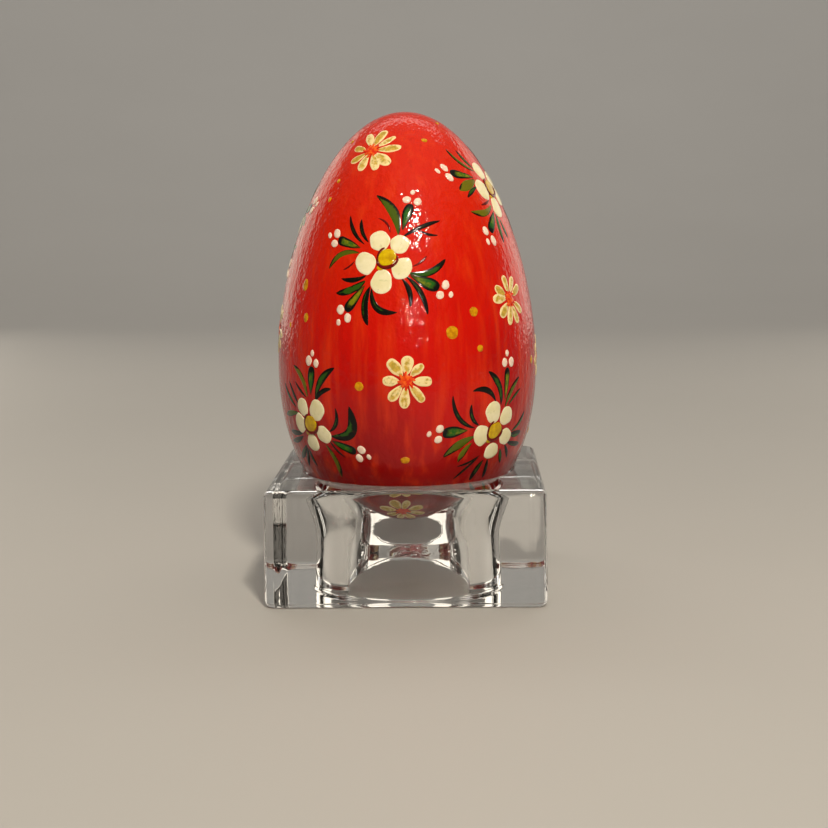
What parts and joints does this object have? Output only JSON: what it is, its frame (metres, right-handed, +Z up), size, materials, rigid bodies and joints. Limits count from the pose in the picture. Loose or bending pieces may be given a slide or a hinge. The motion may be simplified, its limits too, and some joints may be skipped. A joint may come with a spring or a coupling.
{
  "type": "hand-painted wooden egg in a glass block",
  "caption": "Painted wooden egg, red lacquer with cream blossoms and daisies in raised paint, sitting blunt end down in the round well of a clear glass block.",
  "frame": {"origin": "centre of the underside of the glass block", "axes": "+Z up through the egg's tip, -Y the front, +X to the right seen from the front"},
  "size_m": [0.0618, 0.0618, 0.1074],
  "materials": {
    "clear_glass": "clear pressed glass, fire-polished edges",
    "turned_wood": "turned and sanded, under the lacquer",
    "red_lacquer": "high-gloss red lacquer, brushed on",
    "cream_enamel": "thick cream-white enamel, glossy",
    "maroon_enamel": "dark red enamel, glossy",
    "yellow_enamel": "golden yellow enamel, glossy",
    "daisy_enamel": "cream enamel worked into gold, glossy",
    "orange_enamel": "red-orange enamel, glossy",
    "leaf_enamel": "green enamel worked into black, glossy",
    "bud_enamel": "green and olive enamel, glossy",
    "berry_enamel": "pinkish white enamel, glossy",
    "gold_enamel": "ochre gold enamel, glossy"
  },
  "bodies": {
    "stand": {"glass_block": "clear_glass"},
    "egg": {"egg_blank": "turned_wood", "red_lacquer": "red_lacquer", "blossom_petals": "cream_enamel", "blossom_rings": "maroon_enamel", "blossom_eyes": "yellow_enamel", "daisy_petals": "daisy_enamel", "daisy_eyes": "orange_enamel", "leaves": "leaf_enamel", "buds": "bud_enamel", "berries": "berry_enamel", "gold_dots": "gold_enamel"}
  },
  "joints": [
    {"name": "egg_lift", "type": "slide", "parent": "stand", "child": "egg", "axis": [0, 0, 1], "range_m": [0, 0.04]}
  ]
}
